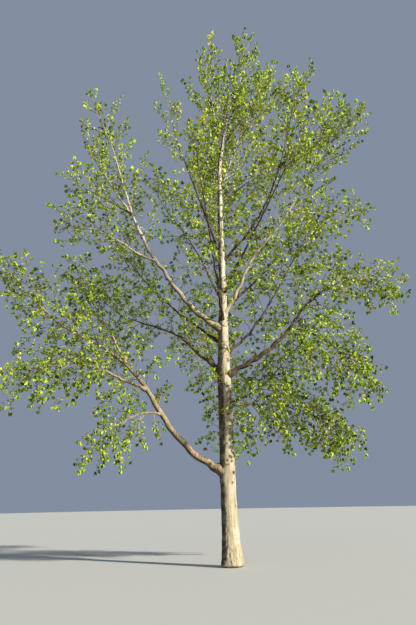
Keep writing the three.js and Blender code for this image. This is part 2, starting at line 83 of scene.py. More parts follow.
# %% The limbs: name, what carries it and where, headings, rises, length, girth, bare, reach
LIMBS = [
    ("left_low", "trunk", 2.2, [184, 186, 198, 194], [27, 42, 63, 44, 22, 42, 52],
     7.7, 0.205, 0.55, 1.35),
    ("left_low_side", "left_low", 0.4, [215, 205], [12, 22, 0, -26], 3.1, 0.090, 0.3, 1.15),
    ("left_low_droop", "left_low", 0.32, [238, 205], [8, -25, -50], 2.1, 0.060, 0.25, 0.95),
    ("left_low_back", "left_low", 0.5, [150, 140], [60, 54, 56], 3.5, 0.080, 0.3, 1.2),
    ("left_mid", "trunk", 4.85, [168, 182], [30, 50, 20, 20, 55], 4.1, 0.110, 0.5, 1.15),
    ("left_high", "trunk", 6.0, [182, 190], [29, 54, 60, 74, 74, 62], 7.9, 0.160, 0.6, 1.05),
    ("left_high_side", "left_high", 0.33, [190, 196], [10, 36, 24, 14], 2.2, 0.075, 0.3, 1.15),
    ("left_high_outer", "left_high", 0.55, [185, 180], [30, 32, 30, 24], 1.9, 0.060, 0.2, 1.0),
    ("left_high_back", "left_high", 0.46, [150, 140], [66, 55, 58, 62], 4.2, 0.075, 0.35, 1.1),
    ("left_upper", "trunk", 6.7, [175, 165], [68, 66, 54, 66], 4.3, 0.065, 0.42, 1.05),
    ("left_inner", "trunk", 8.1, [196, 190], [70, 71, 70, 86], 5.1, 0.075, 0.45, 0.95),
    ("left_leader", "trunk", 11.9, [190, 180], [70, 84, 88], 2.9, 0.048, 0.0, 0.9),
    ("right_low", "trunk", 4.7, [-10, 12], [27, 30, 55, 44, 6, -16], 5.6, 0.150, 0.47, 1.15),
    ("right_low_droop", "right_low", 0.4, [-20, -30], [-15, -40, -60], 2.2, 0.055, 0.2, 1.05),
    ("right_spur", "trunk", 4.02, [-45, -35], [-3, 19, 41, 38], 2.75, 0.060, 0.0, 0.95),
    ("right_drape", "trunk", 3.9, [20, 8], [10, 0, -16, -40], 3.35, 0.060, 0.3, 1.05),
    ("right_mid", "trunk", 5.34, [25, 15], [29, 53, 59, 61, 40], 5.2, 0.085, 0.5, 1.15),
    ("right_pale", "trunk", 6.35, [-25, -15], [55, 64, 42, 60, 55, 40], 6.3, 0.110, 0.62, 1.15),
    ("right_pale_side", "right_pale", 0.57, [10, 20], [0, 4, 0], 2.1, 0.050, 0.2, 1.05),
    ("right_high", "trunk", 8.0, [8, -2], [44, 55, 68, 74, 78, 66], 6.6, 0.090, 0.58, 1.0),
    ("right_high_side", "right_high", 0.53, [25, 35], [47, 50, 47, 41], 4.0, 0.055, 0.25, 1.1),
    ("right_cross", "trunk", 9.76, [30, 15], [48, 42, 28, 36], 3.8, 0.050, 0.4, 0.95),
    ("right_leader", "trunk", 10.27, [-20, -10, -20], [62, 74, 60, 24, 36],
     3.8, 0.050, 0.0, 0.95),
    ("top_right", "trunk", 11.6, [35, 28], [64, 56, 58, 62], 3.5, 0.045, 0.0, 0.95),
    ("front_left", "trunk", 6.2, [262, 258], [38, 40, 48], 4.8, 0.085, 0.42, 1.25),
    ("front_right", "trunk", 7.0, [300, 310], [38, 42, 52], 5.0, 0.080, 0.42, 1.25),
    ("front_high", "trunk", 9.2, [306, 296], [46, 54, 66], 3.8, 0.060, 0.4, 1.1),
    ("back_low", "trunk", 4.3, [95, 100], [24, 34, 46], 5.9, 0.115, 0.5, 1.25),
    ("back_left", "trunk", 5.6, [130, 140], [32, 40, 54], 6.2, 0.105, 0.5, 1.25),
    ("back_right", "trunk", 6.6, [55, 45], [34, 42, 56], 6.0, 0.100, 0.5, 1.25),
    ("back_high", "trunk", 8.6, [100, 95], [44, 52, 66], 5.4, 0.070, 0.42, 1.1),
    ("leader", "trunk", 13.5, [0, 20], [68, 80, 86], 1.75, 0.040, 0.0, 0.8),
]
STEPS = 20  # stations on every limb
SHOOT_GIRTH = 0.011  # diameter at a limb's tip
TAPER = 1.15
GOLDEN_ANGLE = 137.5
TWIG_LEAN = 58
CLOSING = 0.4
TWIG_LIFT = 0.15
LOWEST_LEAF = 2.25

# %% Growing the lines of the limbs
def read_along(values, place):
    """Reads a list of evenly spaced values at a place from 0 to 1."""
    position = place * (len(values) - 1)
    before = min(int(position), len(values) - 2)
    return values[before] + (values[before + 1] - values[before]) * (position - before)


def pointing(heading, rise):
    turn, climb = math.radians(heading), math.radians(rise)
    level = math.cos(climb)
    return np.array([math.cos(turn) * level, math.sin(turn) * level, math.sin(climb)])


def trunk_radius(height):
    return np.interp(height, TRUNK_HEIGHTS, TRUNK_DIAMETERS) / 2


def trunk_middle(height):
    return np.array([np.interp(height, TRUNK_HEIGHTS, TRUNK_ASIDE), 0.0, height])


def grow_limb(limb, grown):
    name, carrier, at, heading, rise, length, girth, bare, reach = limb
    root = trunk_middle(at) if carrier == "trunk" else grown[carrier]["points"][round(at * STEPS)]
    points = [root]
    for step in range(STEPS):
        place = (step + 0.5) / STEPS
        way = pointing(read_along(heading, place), read_along(rise, place))
        points.append(points[-1] + way * length / STEPS)
    places = np.arange(STEPS + 1) / STEPS
    radii = (SHOOT_GIRTH + (girth - SHOOT_GIRTH) * (1 - places) ** TAPER) / 2
    return {"name": name, "carrier": carrier, "at": at, "points": np.array(points),
            "radii": radii, "bare": bare, "reach": reach, "length": length, "girth": girth}


limbs = {}
for limb in LIMBS:
    limbs[limb[0]] = grow_limb(limb, limbs)
print(len(limbs), "limbs, together", round(sum(limb["length"] for limb in limbs.values()), 1), "m")

# %% [markdown]
# ## The camera
# It stands where the photograph was taken from: 16 m in front of the trunk at eye height,
# tilted up and rolled by one degree. It comes early, as leaves are later kept off the wood that
# it sees.

# %% Place the camera
EYE = Vector((-0.4825, -16.0, 1.6))
LEVEL = math.radians(90)  # a camera that isn't turned looks straight down
TILT = math.radians(17.05)
ROLL = math.radians(1.06)
LENS_PIXELS = 608
LONG_SIDE_PIXELS = 625
SENSOR = 36


def add_object(name, data):
    made = bpy.data.objects.new(name, data)
    bpy.context.scene.collection.objects.link(made)
    return made


camera_data = bpy.data.cameras.new("camera")
camera_data.sensor_width = SENSOR
camera_data.lens = LENS_PIXELS / LONG_SIDE_PIXELS * SENSOR
camera = add_object("camera", camera_data)
camera.matrix_world = (Matrix.Translation(EYE) @ Matrix.Rotation(LEVEL + TILT, 4, "X")
                       @ Matrix.Rotation(-ROLL, 4, "Z"))
bpy.context.scene.camera = camera
print("lens", round(camera_data.lens, 1), "mm")

# %% [markdown]
# ## Bark
# Young poplar bark is smooth and cream to beige, with faint upright streaks and small dark
# lens-shaped pores in level rows. Painted shade goes over it: a dark colour, in patches, on the
# side away from the sun. Three materials use each of these effects, so each is a node group,
# which puts out colours, heights or a mask. The shader that reads them stays in the material.

# %% Helpers for node groups
def new_group(name, inputs, outputs):
    group = bpy.data.node_groups.new(name, "ShaderNodeTree")
    for side, sockets in (("INPUT", inputs), ("OUTPUT", outputs)):
        for title, kind in sockets.items():
            group.interface.new_socket(title, in_out=side, socket_type="NodeSocket" + kind)
    return group, group.nodes.new("NodeGroupInput"), group.nodes.new("NodeGroupOutput")


def node(tree, kind, inputs=None, **values):
    """Adds a node. Each input gets a value, or a link from another node's output."""
    made = tree.nodes.new(kind)
    for key, value in values.items():
        setattr(made, key, value)
    for title, value in (inputs or {}).items():
        if isinstance(value, bpy.types.NodeSocket):
            tree.links.new(value, made.inputs[title])
        else:
            made.inputs[title].default_value = value
    return made


def stretch(tree, place, scale):
    return node(tree, "ShaderNodeMapping", {"Vector": place, "Scale": scale}).outputs["Vector"]


def noise_node(tree, place, scale, detail):
    made = node(tree, "ShaderNodeTexNoise", {
        "Vector": stretch(tree, place, scale), "Scale": 1.0, "Detail": detail,
        "Roughness": 0.55})
    return made.outputs["Fac"]


def remap(tree, value, low, high, new_low=0.0, new_high=1.0):
    made = node(tree, "ShaderNodeMapRange", {
        "Value": value, "From Min": low, "From Max": high, "To Min": new_low,
        "To Max": new_high})
    return made.outputs["Result"]


def math_node(tree, operation, first, second):
    return node(tree, "ShaderNodeMath", {0: first, 1: second}, operation=operation).outputs[0]


def mix_colour(tree, share, first, second):
    """Inputs 6 and 7 and output 2 of this node are the ones for colours."""
    made = node(tree, "ShaderNodeMix", {0: share, 6: first, 7: second}, data_type="RGBA")
    return made.outputs[2]


def linear(red, green, blue):
    """A colour that is given as on a screen, 0 to 255, as the shader wants it."""
    return tuple(
        channel / 12.92 if channel <= 0.04045 else ((channel + 0.055) / 1.055) ** 2.4
        for channel in (red / 255, green / 255, blue / 255)) + (1.0,)

# %% The streaks group: two tones of smooth bark, in soft upright streaks
def make_streaks():
    group, start, end = new_group(
        "bark_streaks", {"Place": "Vector", "Pale": "Color", "Warm": "Color"},
        {"Color": "Color", "Height": "Float"})
    place = start.outputs["Place"]
    upright = noise_node(group, place, (22, 22, 1.6), 4.0)
    patches = noise_node(group, place, (5, 5, 2.2), 3.0)
    both = math_node(group, "ADD", math_node(group, "MULTIPLY", upright, 0.6),
                     math_node(group, "MULTIPLY", patches, 0.4))
    share = remap(group, both, 0.38, 0.62)
    colour = mix_colour(group, share, start.outputs["Pale"], start.outputs["Warm"])
    grain = noise_node(group, place, (90, 90, 30), 3.0)
    height = math_node(group, "ADD", upright, math_node(group, "MULTIPLY", grain, 0.5))
    group.links.new(colour, end.inputs["Color"])
    group.links.new(height, end.inputs["Height"])
    return group


# %% The pores group: dark level lens-shaped marks, in loose rows
def make_pores():
    group, start, end = new_group(
        "bark_pores", {"Place": "Vector", "Size": "Float"}, {"Mask": "Float"})
    inputs = {0: start.outputs["Place"], "Scale": start.outputs["Size"]}
    place = node(group, "ShaderNodeVectorMath", inputs, operation="SCALE").outputs["Vector"]
    cells = node(group, "ShaderNodeTexVoronoi", {
        "Vector": stretch(group, place, (9, 9, 17)), "Scale": 1.0, "Randomness": 0.85},
        feature="F1")
    near = remap(group, cells.outputs["Distance"], 0.26, 0.12)
    rows = noise_node(group, place, (1.5, 1.5, 5), 2.0)
    mask = math_node(group, "MULTIPLY", near, remap(group, rows, 0.46, 0.60))
    group.links.new(mask, end.inputs["Mask"])
    return group


# %% The painted shade group: a dark colour on faces away from the sun, in patches
def make_painted_shade():
    group, start, end = new_group(
        "bark_painted_shade", {"Place": "Vector", "Side": "Float", "Amount": "Float"}, {"Mask": "Float"})
    # Painted shade: the bark is darkened where the Side input says a face looks away from the sun.
    patches = noise_node(group, start.outputs["Place"], (7, 7, 7), 5.0)
    patches = remap(group, patches, 0.36, 0.56, 0.65, 1.0)
    side = math_node(group, "MULTIPLY", start.outputs["Side"], patches)
    mask = math_node(group, "MULTIPLY", side, start.outputs["Amount"])
    group.links.new(mask, end.inputs["Mask"])
    return group


streaks_group, pores_group, painted_shade_group = make_streaks(), make_pores(), make_painted_shade()
print("node groups", [group.name for group in (streaks_group, pores_group, painted_shade_group)])

# %% The bark materials
WHITE_FROM = 4.5  # above this height the bark gets young and pale
WHITE_AT = 9.0
WHITENED = linear(206, 198, 174)
# The colour of the painted shade on the side away from the sun.
PAINTED_SHADE_COLOUR = linear(48, 43, 30)
PORE_DARKNESS = 0.85
PORE_DEPTH = 0.8  # against the height of the streaks
RELIEF = {"Distance": 0.01, "Strength": 0.5}


def new_material(name, roughness, specular):
    material = bpy.data.materials.new(name)
    material.use_nodes = True
    shader = material.node_tree.nodes["Principled BSDF"]
    shader.inputs["Roughness"].default_value = roughness
    shader.inputs["Specular IOR Level"].default_value = specular
    return material, shader


def place_group(tree, group, place, **values):
    return node(tree, "ShaderNodeGroup", {"Place": place, **values}, node_tree=group)


def bark_material(name, colours, pore_size, painted_shade_amount, whitening, scars=False):
    pale, warm, dark = [linear(*colour) for colour in colours]
    material, shader = new_material(name, roughness=0.78, specular=0.25)
    tree = material.node_tree
    place = node(tree, "ShaderNodeTexCoord").outputs["Object"]
    height = node(tree, "ShaderNodeSeparateXYZ", {0: place}).outputs["Z"]
    # Painted shade: the side attribute and the group below darken the bark on faces away from the
    # sun.
    side = node(tree, "ShaderNodeAttribute", attribute_name="side").outputs["Fac"]
    streaks = place_group(tree, streaks_group, place, Pale=pale, Warm=warm)
    pores = place_group(tree, pores_group, place, Size=pore_size).outputs["Mask"]
    painted_shade = place_group(tree, painted_shade_group, place, Side=side, Amount=painted_shade_amount).outputs["Mask"]
    whitened = remap(tree, height, WHITE_FROM, WHITE_AT, 0.0, whitening)
    colour = mix_colour(tree, whitened, streaks.outputs["Color"], WHITENED)
    colour = mix_colour(tree, painted_shade, colour, PAINTED_SHADE_COLOUR)
    colour = mix_colour(tree, math_node(tree, "MULTIPLY", pores, PORE_DARKNESS), colour, dark)
    if scars:
        scar = node(tree, "ShaderNodeAttribute", attribute_name="scar").outputs["Fac"]
        colour = mix_colour(tree, scar, colour, dark)
    pits = math_node(tree, "MULTIPLY", pores, PORE_DEPTH)
    relief = math_node(tree, "SUBTRACT", streaks.outputs["Height"], pits)
    bump = node(tree, "ShaderNodeBump", {"Height": relief, **RELIEF})
    tree.links.new(colour, shader.inputs["Base Color"])
    tree.links.new(bump.outputs["Normal"], shader.inputs["Normal"])
    return material


trunk_bark = bark_material(
    "trunk_bark", [(190, 179, 152), (140, 127, 96), (58, 48, 36)], 1.0, 0.95, 0.6, scars=True)
bough_bark = bark_material(
    "bough_bark", [(166, 150, 116), (108, 91, 65), (54, 46, 36)], 1.6, 0.92, 0.5)
# A darker copy of the bough bark: painted shade, for boughs that stand in shade.
painted_shade_bark = bark_material(
    "painted_shade_bark", [(88, 73, 52), (58, 46, 33), (28, 22, 16)], 1.6, 0.9, 0.0)

# %% [markdown]
# ## The trunk
# The trunk is one tapering column with a root flare. It is made as by hand, from a disc on the
# ground: its face is extruded upwards ring by ring, and each new ring is scaled to the girth
# there. Subdivision rounds it, and three Displace modifiers give the bark its relief. Rings
# lie close together low down, where the trunk is seen best.

# %% Helpers for modelling
def make_active(piece):
    bpy.ops.object.select_all(action="DESELECT")
    piece.select_set(True)
    bpy.context.view_layer.objects.active = piece


def apply_modifier(piece, kind, name, **values):
    make_active(piece)
    modifier = piece.modifiers.new(name, kind)
    for key, value in values.items():
        setattr(modifier, key, value)
    bpy.ops.object.modifier_apply(modifier=name)


def add_disc(name, sides, radius):
    """A flat disc on the ground."""
    bpy.ops.mesh.primitive_circle_add(vertices=sides, radius=radius, fill_type="NGON",
                                      location=(0, 0, 0))
    bpy.context.object.name = name
    return bpy.context.object


def roughen(piece, name, size, height, depth=2, **values):
    """Moves the points of a piece in and out by a cloud pattern."""
    texture = bpy.data.textures.new(name, "CLOUDS")
    texture.noise_scale = size
    texture.noise_depth = depth
    apply_modifier(piece, "DISPLACE", name, texture=texture, texture_coords="LOCAL",
                   strength=height, mid_level=0.5, **values)


def read_points(piece, what="co"):
    points = np.zeros(len(piece.data.vertices) * 3)
    piece.data.vertices.foreach_get(what, points)
    return points.reshape(-1, 3)


def write_points(piece, points):
    piece.data.vertices.foreach_set("co", points.astype(np.float32).ravel())
    piece.data.update()


def write_attribute(piece, name, values):
    attribute = piece.data.attributes.new(name, "FLOAT", "POINT")
    attribute.data.foreach_set("value", values.astype(np.float32))


def close_and_turn_out(piece):
    make_active(piece)
    bpy.ops.object.mode_set(mode="EDIT")
    bpy.ops.mesh.select_all(action="SELECT")
    bpy.ops.mesh.remove_doubles(threshold=1e-5)
    bpy.ops.mesh.normals_make_consistent(inside=False)
    bpy.ops.object.mode_set(mode="OBJECT")
    bpy.ops.object.shade_smooth()


# Painted shade: the trunk is darkened on faces away from the sun, the boughs on their undersides.
TRUNK_PAINTED_SHADE_WAY = np.array([-0.80, 0.30, 0.52])  # painted shade goes on faces that look this way
TRUNK_PAINTED_SHADE_FROM = ([2.0, 3.4], [0.0, -0.28])  # heights, and how far faces must look that way
BOUGH_PAINTED_SHADE_WAY = np.array([-0.65, 0.35, -0.67])  # painted shade under the boughs, away from the sun
BOUGH_PAINTED_SHADE_FROM = ([3.0, 10.0], [-0.12, 0.30])
PAINTED_SHADE_EDGE = 0.25  # how softly the film begins


def note_painted_shade_side(piece, shade_way, shade_from):
    """Writes how far each point looks the painted shade's way, for the painted shade on the bark.
    """
    start = np.interp(read_points(piece)[:, 2], *shade_from)
    side = (read_points(piece, "normal") @ shade_way - start) / PAINTED_SHADE_EDGE
    write_attribute(piece, "side", np.clip(side, 0, 1))


def count_triangles(piece):
    return sum(len(face.vertices) - 2 for face in piece.data.polygons)


# %% Extrude the trunk from a disc
TRUNK_SIDES = 28
CLOSE_RINGS_TO = 5.0
CLOSE_STEP = 0.09
WIDE_RINGS = 34  # from there up
RINGS = [*np.arange(0, CLOSE_RINGS_TO, CLOSE_STEP),
         *np.linspace(CLOSE_RINGS_TO, TRUNK_HEIGHTS[-1], WIDE_RINGS)]


def extrude_trunk():
    trunk = add_disc("trunk_wood", TRUNK_SIDES, trunk_radius(0))
    bpy.ops.object.mode_set(mode="EDIT")
    bpy.ops.mesh.select_all(action="SELECT")
    for low, high in zip(RINGS, RINGS[1:]):
        rise = trunk_middle(high) - trunk_middle(low)
        growth = trunk_radius(high) / trunk_radius(low)
        bpy.ops.mesh.extrude_region_move(TRANSFORM_OT_translate={"value": tuple(rise)})
        bpy.ops.transform.resize(value=(growth, growth, growth),
                                 center_override=tuple(trunk_middle(high)))
    bpy.ops.object.mode_set(mode="OBJECT")
    return trunk


trunk = extrude_trunk()
print("trunk rings", len(RINGS), "faces", len(trunk.data.polygons))

# %% [markdown]
# The root flare widens the foot into five soft lobes. Old branch scars are the dark eyes of
# poplar bark: a raised rim with a sunken middle. Where a limb leaves, the trunk swells into a
# collar. Formulas move the points, and the scars also write an attribute that darkens the bark.

# %% Flare, collars and scars
SCARS = [  # height, heading, width
    (2.71, 316, 0.075), (2.53, 266, 0.070), (2.51, 304, 0.080), (2.43, 276, 0.055),
    (1.98, 304, 0.075), (2.07, 328, 0.050), (2.33, 226, 0.050), (2.37, 240, 0.048),
    (2.41, 254, 0.046), (3.04, 287, 0.055), (3.39, 310, 0.065), (3.70, 292, 0.075),
    (4.09, 318, 0.065), (4.43, 296, 0.060), (1.42, 318, 0.050), (1.75, 120, 0.070),
    (2.40, 60, 0.080), (2.95, 20, 0.060), (3.30, 130, 0.075), (3.60, 80, 0.065),
    (4.05, 40, 0.070), (4.60, 150, 0.060), (5.05, 100, 0.060), (1.15, 60, 0.060),
]
SCAR_RIM = 0.010
SCAR_DIP = -0.012
DIP_WIDTH = 0.45  # against the rim's
COLLAR_SWELL = 0.02
COLLAR_WIDTH = 0.13
COLLAR_GIRTH = 0.19  # girth of a limb with a collar of this swell


def around_trunk(points):
    """Each point's way out from the trunk's middle line, its angle, and the line there."""
    aside = np.interp(points[:, 2], TRUNK_HEIGHTS, TRUNK_ASIDE)
    middle = np.stack([aside, np.zeros(len(points))], 1)
    offset = points[:, :2] - middle
    return offset, np.arctan2(offset[:, 1], offset[:, 0]), middle


def trunk_surface(height, heading):
    return trunk_middle(height) + pointing(heading, 0) * trunk_radius(height)


def flare_foot(points):
    offset, angle, middle = around_trunk(points)
    flare = np.exp(-points[:, 2] / FLARE_HEIGHT)
    lobes = 1 + LOBE_DEPTH * flare * np.cos(FLARE_LOBES * angle)
    moved = points.copy()
    moved[:, :2] = middle + offset * ((1 + FLARE_GROWTH * flare) * lobes)[:, None]
    return moved


def swell(points, centre, height, width, stretched=1.0):
    """Points near a centre move away from the trunk's middle line, less with distance."""
    offset, _, _ = around_trunk(points)
    outwards = offset / np.maximum(np.linalg.norm(offset, axis=1, keepdims=True), 1e-6)
    apart = points - centre
    apart[:, 2] /= stretched
    bump = height * np.exp(-(np.linalg.norm(apart, axis=1) / width) ** 2)
    moved = points.copy()
    moved[:, :2] += outwards * bump[:, None]
    return moved


write_points(trunk, flare_foot(read_points(trunk)))
apply_modifier(trunk, "SUBSURF", "round", levels=2, render_levels=2)
points = read_points(trunk)
for limb in limbs.values():
    if limb["carrier"] == "trunk":
        heading = math.degrees(math.atan2(*(limb["points"][2] - limb["points"][0])[[1, 0]]))
        size = limb["girth"] / COLLAR_GIRTH
        centre = trunk_surface(limb["at"] + 0.06 * size, heading)
        points = swell(points, centre, COLLAR_SWELL * size, COLLAR_WIDTH * size + 0.03, 1.6)
scar_depth = np.zeros(len(points))
for height, heading, width in SCARS:
    centre = trunk_surface(height, heading)
    distance = np.linalg.norm((points - centre) * [1, 1, 1.25], axis=1)
    points = swell(points, centre, SCAR_RIM, width)
    points = swell(points, centre, SCAR_DIP, width * DIP_WIDTH)
    scar_depth = np.maximum(scar_depth, np.clip(1.35 - distance / (width * 0.55), 0, 1))
write_points(trunk, points)
write_attribute(trunk, "scar", scar_depth)
print("scars", len(SCARS), "points under them", int((scar_depth > 0.5).sum()))

# %% Bark relief on the trunk
FURROWS_FADE = (0.2, 1.8)  # the furrows fade out between these heights
group = trunk.vertex_groups.new(name="foot")
weights = np.interp(read_points(trunk)[:, 2], FURROWS_FADE, (1, 0))
for index in np.nonzero(weights)[0]:
    group.add([int(index)], float(weights[index]), "REPLACE")
roughen(trunk, "lumps", 0.22, 0.022)
roughen(trunk, "grain", 0.035, 0.006)
roughen(trunk, "furrows", 0.06, 0.030, depth=4, vertex_group="foot")
points = read_points(trunk)
points[:, 2] = np.maximum(points[:, 2], 0)
write_points(trunk, points)
close_and_turn_out(trunk)
note_painted_shade_side(trunk, TRUNK_PAINTED_SHADE_WAY, TRUNK_PAINTED_SHADE_FROM)
trunk.data.materials.append(trunk_bark)
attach(trunk, "root")
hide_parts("trunk")
print("trunk triangles", count_triangles(trunk))

# %% [markdown]
# ## The boughs
# A bough is round, tapers all the way, swells where it leaves its carrier and has small kinks
# where old side shoots were. A curve with a round bevel does this best, as every point of its
# line has its own radius. It is converted to a mesh, subdivided and given relief. One curve
# runs from the root to the last shoot, through bough and foliage.

# %% Draw each limb's line finely
FINE = 3  # points of the drawn line for each station
KINK = 0.35  # sideways kinks, against the limb's radius
COLLAR = 0.75  # how much wider a limb is where it leaves its carrier
COLLAR_LENGTH = 0.9  # against the limb's girth


def smooth_line(values, per_step):
    """A Catmull-Rom line through evenly spaced stations."""
    padded = np.concatenate([[2 * values[0] - values[1]], values, [2 * values[-1] - values[-2]]])
    a, b, c, d = (padded[first:first + len(values) - 1, None] for first in range(4))
    t = (np.arange(per_step) / per_step)[:, None]
    drawn = 0.5 * (2 * b + (c - a) * t + (2 * a - 5 * b + 4 * c - d) * t * t
                   + (3 * b - a - 3 * c + d) * t ** 3)
    return np.concatenate([drawn.reshape(-1, 3), values[-1:]])


def carrier_radius(limb):
    if limb["carrier"] == "trunk":
        return trunk_radius(limb["at"])
    return limbs[limb["carrier"]]["radii"][round(limb["at"] * STEPS)]


def finer_limb(limb, per_step):
    """The line and the radii of a limb, with more points."""
    line = smooth_line(limb["points"], per_step)
    places = np.arange(len(line)) / per_step
    return line, np.interp(places, np.arange(STEPS + 1), limb["radii"])


def drawn_limb(limb, chance):
    line, radii = finer_limb(limb, FINE)
    away = np.arange(len(line)) * limb["length"] / STEPS / FINE
    kinks = chance.normal(size=line.shape) * radii[:, None] * KINK
    kinks[:2] = 0
    collar = np.clip((away - carrier_radius(limb)) / (limb["girth"] * COLLAR_LENGTH), 0, None)
    radii = radii * (1 + COLLAR * np.exp(-collar ** 2 * 1.5))
    return line + kinks, radii


# %% Model the limbs
STOUT = 0.08  # girth from which a limb gets a rounder tube and lumps
BEVEL_STOUT = 4
BEVEL_THIN = 2
# Limbs that get the darker bark: painted shade on boughs that stand in shade.
PAINTED_SHADE_LIMBS = ("right_high", "right_high_side", "right_cross", "right_mid", "right_low",
              "right_low_droop", "left_mid", "back_low", "back_left", "back_right", "back_high",
              "top_right", "left_upper", "left_high_outer", "left_inner", "front_left",
              "front_right")


def limb_piece(limb, chance):
    line, radii = drawn_limb(limb, chance)
    bpy.ops.curve.primitive_bezier_curve_add(location=(0, 0, 0))
    piece = bpy.context.object
    piece.name = "limb_" + limb["name"]
    curve = piece.data
    curve.splines.clear()
    spline = curve.splines.new("POLY")
    spline.points.add(len(line) - 1)
    spline.points.foreach_set("co", np.c_[line, np.ones(len(line))].ravel())
    spline.points.foreach_set("radius", radii)
    curve.dimensions = "3D"
    curve.bevel_depth = 1.0
    curve.bevel_resolution = BEVEL_STOUT if limb["girth"] > STOUT else BEVEL_THIN
    curve.use_fill_caps = True
    bpy.ops.object.convert(target="MESH")
    piece = bpy.context.object
    close_and_turn_out(piece)
    if limb["girth"] > STOUT:
        apply_modifier(piece, "SUBSURF", "round", levels=1, render_levels=1)
        roughen(piece, "bough_lumps", 0.10, 0.016)
    note_painted_shade_side(piece, BOUGH_PAINTED_SHADE_WAY, BOUGH_PAINTED_SHADE_FROM)
    piece.data.materials.append(painted_shade_bark if limb["name"] in PAINTED_SHADE_LIMBS else bough_bark)
    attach(piece, "root")
    stands_for = "bough_" if limb["bare"] > 0 else "foliage_"
    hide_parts(stands_for + limb["name"])
    return piece


limb_chance = np.random.default_rng(11)
limb_pieces = [limb_piece(limb, limb_chance) for limb in limbs.values()]
print("limb triangles", sum(count_triangles(piece) for piece in limb_pieces))

# %% [markdown]
# ## Twigs
# Each mass of foliage grows by the rule its solid was made by: side shoots leave their carrier
# a golden angle apart, lean away from it by up to 58 degrees, and get shorter towards its tip.
# Here the rule is used twice more: stems carry twigs, twigs carry shoots, and shoots carry
# buds. High up they turn to the light, low down they hang. Few buds open where their leaves
# would hide wood that the photograph shows bare, or keep the sun off wood that it shows lit.
# One mesh from arrays holds all the thin three-sided tubes of a mass.

# %% The rule
TWIG_SPACING = 0.19
SPUR_SPACING = 0.30
SPUR_FREE = 0.4  # the part of a bare bough, from its root, that carries no twig
SHOOT_SPACING = 0.15
BUD_SPACING = 0.12
TWIG_EXTRA = 0.42  # a twig's last leaves stand this far past the reach of its mass
SPUR_REACH = 0.75  # how far twigs on a bare bough go, against those on a stem
TIP_BUD = 1.15  # size of the leaves at a limb's tip
TWIG_REACHES = (0.6, 1.0)  # shares of its reach that a twig may have
SHOOT_REACH = 0.46
SHOOT_REACHES = (0.45, 1.2)
FIRST_SHOOT = 0.25  # its place on a twig
SHOOT_SPAN = 0.73  # how much of a twig carries shoots
TWIG_POINTS = 6
SHOOT_POINTS = 4
TWIG_GIRTH = 0.019
SHOOT_GIRTH_AT_ROOT = 0.0105
SHOOT_TIP = 0.004
WANDER = 0.35  # how unevenly a twig turns on its way
TRIES = 9
TRIED_REACHES = (1.0, 0.6)
BUD_SIZES = (0.68, 0.95)
END_BUD_SIZES = (1.05, 1.3)
DEPTH_COUNTS = (1.0, 0.6, 1.0)  # room is weighed less along the view, so gaps close in it
TURNING = ([4.0, 8.5, 13.0], [-1.1, 0.0, 0.9])  # heights, and how twigs turn there
GROWTH = {  # twigs of a mass against the others: how many, and how far they go
    "left_inner": (0.55, 1.3), "left_high": (0.9, 1.15), "left_high_outer": (1.1, 1.0),
    "left_high_side": (1.5, 1.2), "left_upper": (0.9, 1.35), "left_low": (2.0, 1.0),
    "left_low_side": (2.3, 1.15), "left_low_droop": (1.8, 1.0), "left_low_back": (2.0, 1.0),
    "left_mid": (1.8, 1.0), "back_left": (1.4, 1.0), "back_low": (1.4, 1.0),
    "back_right": (1.2, 1.0), "right_low": (2.6, 1.0), "right_low_droop": (3.0, 1.2),
    "right_spur": (3.2, 1.25), "right_drape": (3.2, 1.2), "right_mid": (1.8, 1.2),
    "right_leader": (1.3, 1.0), "top_right": (1.3, 1.0), "right_high": (1.1, 1.0),
    "right_high_side": (0.6, 1.2), "front_high": (1.1, 1.0), "right_cross": (1.3, 1.2),
    "right_pale": (1.9, 1.15), "right_pale_side": (1.4, 0.7), "left_leader": (1.1, 1.35),
    "leader": (1.0, 1.2),
}


def normalise(vector):
    return vector / np.maximum(np.linalg.norm(vector, axis=-1, keepdims=True), 1e-9)


def square_pair(way):
    """Two directions square to a way and to each other, for one way or many."""
    helper = np.where(np.abs(way[..., 2:]) < 0.9, [0.0, 0.0, 1.0], [1.0, 0.0, 0.0])
    across = normalise(np.cross(helper, way))
    return across, np.cross(way, across)


def side_way(way, turn, place):
    """The way a side shoot leaves its carrier: a lean from the carrier's way, and a turn."""
    across, aside = square_pair(way)
    tilt = math.radians(TWIG_LEAN * (1 - CLOSING * place))
    side = (way * math.cos(tilt) + across * math.cos(turn) * math.sin(tilt)
            + aside * math.sin(turn) * math.sin(tilt))
    side[2] += TWIG_LIFT
    return normalise(side)


def turning(height):
    """How a twig turns on its way: up to the light above, down by its weight below."""
    return float(np.interp(height, *TURNING))


def twig_line(start, way, length, count, turn, chance):
    points = [start]
    stride = length / (count - 1)
    for _ in range(count - 1):
        way = normalise(way + np.array([0, 0, turn / (count - 1)])
                        + (chance.random(3) - 0.5) * WANDER)
        points.append(points[-1] + way * stride)
    return np.array(points)


def point_along(line, place):
    position = place * (len(line) - 1)
    before = min(int(position), len(line) - 2)
    way = line[before + 1] - line[before]
    return line[before] + way * (position - before), normalise(way)


# %% Each mass keeps to its own space
SPACE_MARGIN = 0.5  # how much nearer another mass may be
BOX_MARGIN = 0.05
NEIGHBOURS = 8  # places on stems that are looked at

stems = [(point, name) for name, limb in limbs.items()
         for point in smooth_line(limb["points"], 2)[round(limb["bare"] * STEPS) * 2:]]


def search_tree(points):
    tree = kdtree.KDTree(len(points))
    for index, point in enumerate(points):
        tree.insert(Vector(point), index)
    tree.balance()
    return tree


stem_tree = search_tree([point for point, _ in stems])
box_low = np.array(cad_box[0]) - BOX_MARGIN
box_high = np.array(cad_box[1]) + BOX_MARGIN


def inside_crown(point):
    return point[2] > LOWEST_LEAF and (point > box_low).all() and (point < box_high).all()


